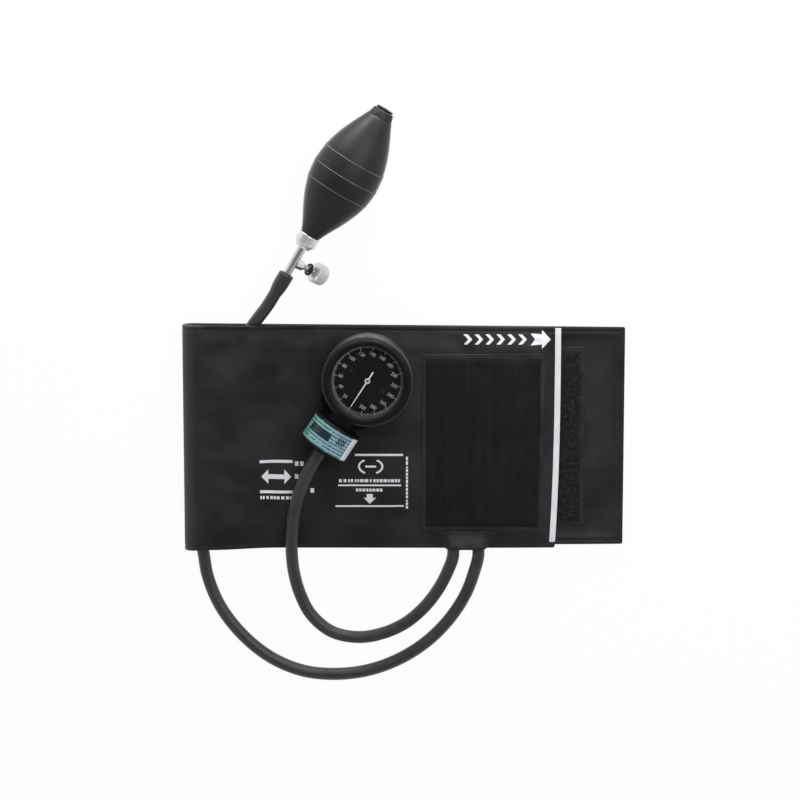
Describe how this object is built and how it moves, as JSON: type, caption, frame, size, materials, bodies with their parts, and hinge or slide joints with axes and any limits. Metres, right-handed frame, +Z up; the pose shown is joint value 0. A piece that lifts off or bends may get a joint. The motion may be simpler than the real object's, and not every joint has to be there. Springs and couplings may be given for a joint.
{
  "type": "sphygmomanometer",
  "caption": "Aneroid sphygmomanometer: black nylon arm cuff folded in half, round pressure gauge, rubber bulb with release valve, and connecting hoses.",
  "frame": {"origin": "on the underside of the cuff's back leaf, midway between the fold and the back leaf's free end", "axes": "+Z up from the table, +X away from the cuff's fold, +Y towards the bulb"},
  "size_m": [0.2843, 0.3746, 0.0449],
  "materials": {
    "cuff_nylon": "fine plain weave, slight sheen",
    "loop_pile": "short brushed loops",
    "hook_pile": "rough short hooks",
    "white_print": "flat printed strip",
    "hose_rubber": "satin",
    "black_rubber": "satin",
    "black_plastic": "fine satin",
    "chrome": "polished",
    "steel": "turned",
    "brass": "turned",
    "clear_lens": "clear",
    "dial_paint": "matt",
    "white_paint": "matt",
    "teal_label": "printed film"
  },
  "bodies": {
    "cuff": {"gauge_hose": "hose_rubber", "bulb_hose": "hose_rubber", "front_cover": "cuff_nylon", "front_lining": "cuff_nylon", "bladder": "hose_rubber", "front_hem": "cuff_nylon", "loop_patch": "loop_pile", "index_strip": "white_print", "cuff_fold": "cuff_nylon", "bladder_port_gauge": "hose_rubber", "bladder_port_bulb": "hose_rubber", "hose_outlet_tab": "cuff_nylon", "gauge_bracket": "black_plastic", "bracket_screw_1": "steel", "bracket_screw_2": "steel", "gauge_case": "black_plastic", "rubber_bumper": "black_rubber", "bezel_ring": "black_plastic", "lens": "clear_lens", "dial_ring": "steel", "neck_cap": "black_plastic", "cap_label": "teal_label", "hose_nipple": "chrome", "dial_plate": "dial_paint", "dial_screw_1": "steel", "dial_screw_2": "steel", "capsule_lower": "brass", "capsule_upper": "brass", "pressure_elbow": "brass", "movement_base_plate": "brass", "movement_screw_1": "steel", "movement_screw_2": "steel", "movement_screw_3": "steel", "movement_top_plate": "brass", "hairspring": "steel", "bulb": "black_rubber", "intake_valve_body": "black_plastic", "intake_valve_retainer": "brass", "valve_collar": "chrome", "valve_body": "chrome", "bulb_hose_sleeve": "hose_rubber"},
    "back_leaf": {"back_leaf": "cuff_nylon", "hook_patch": "hook_pile"},
    "sector": {"sector_gear": "brass"},
    "pointer": {"pointer": "white_paint", "pinion_arbor": "steel"},
    "rocking_shaft": {"rocking_shaft": "steel"},
    "capsule_button": {"capsule_button": "steel"},
    "release_seal": {"release_ring": "black_rubber"},
    "release_screw": {"release_needle": "steel", "release_knob": "chrome"},
    "intake_ball": {"intake_valve_ball": "steel"},
    "outlet_ball": {"outlet_valve_ball": "steel"}
  },
  "joints": [
    {"name": "cuff_unfold", "type": "hinge", "parent": "cuff", "child": "back_leaf", "pos_m": [-0.1442, 0, 0.0068], "axis": [0, 1, 0], "range_deg": [0, 180], "deforming": ["cuff_fold"]},
    {"name": "sector_swing", "type": "hinge", "parent": "cuff", "child": "sector", "pos_m": [-0.0137, 0.04939, 0.0069], "axis": [0, 0, 1], "range_deg": [0, 42.19], "stiffness_Nm_per_rad": 0.0001, "springref_deg": -28.65},
    {"name": "pointer_turn", "type": "hinge", "parent": "cuff", "child": "pointer", "pos_m": [-0.0232, 0.0398, 0.0069], "axis": [0, 0, -1], "range_deg": [0, 337.5], "deforming": ["hairspring"]},
    {"name": "shaft_rock", "type": "hinge", "parent": "cuff", "child": "rocking_shaft", "pos_m": [-0.02157, 0.03874, 0.0202], "axis": [0.5446, 0.8387, 0], "range_deg": [0, 26.01]},
    {"name": "capsule_travel", "type": "slide", "parent": "cuff", "child": "capsule_button", "axis": [0, 0, 1], "range_m": [0, 0.0009], "deforming": ["capsule_upper"]},
    {"name": "release_screw_travel", "type": "slide", "parent": "cuff", "child": "release_seal", "axis": [0.7316, -0.4108, -0.5441], "range_m": [0, 0.0009]},
    {"name": "release_screw_turn", "type": "hinge", "parent": "release_seal", "child": "release_screw", "pos_m": [-0.06975, 0.11435, 0.0196], "axis": [0.7316, -0.4108, -0.5441], "range_deg": [0, 540]},
    {"name": "intake_ball_lift", "type": "slide", "parent": "cuff", "child": "intake_ball", "axis": [-0.5145, -0.8563, -0.0454], "range_m": [0, 0.0008]},
    {"name": "outlet_ball_lift", "type": "slide", "parent": "cuff", "child": "outlet_ball", "axis": [-0.5145, -0.8563, -0.0454], "range_m": [0, 0.0008]}
  ],
  "couplings": [
    {"joint": "pointer_turn", "follows": "sector_swing", "ratio": 8},
    {"joint": "shaft_rock", "follows": "sector_swing", "ratio": 0.61643},
    {"joint": "capsule_travel", "follows": "sector_swing", "m_per_rad": 0.0012223},
    {"joint": "release_screw_travel", "follows": "release_screw_turn", "m_per_rad": 0.00009549}
  ]
}
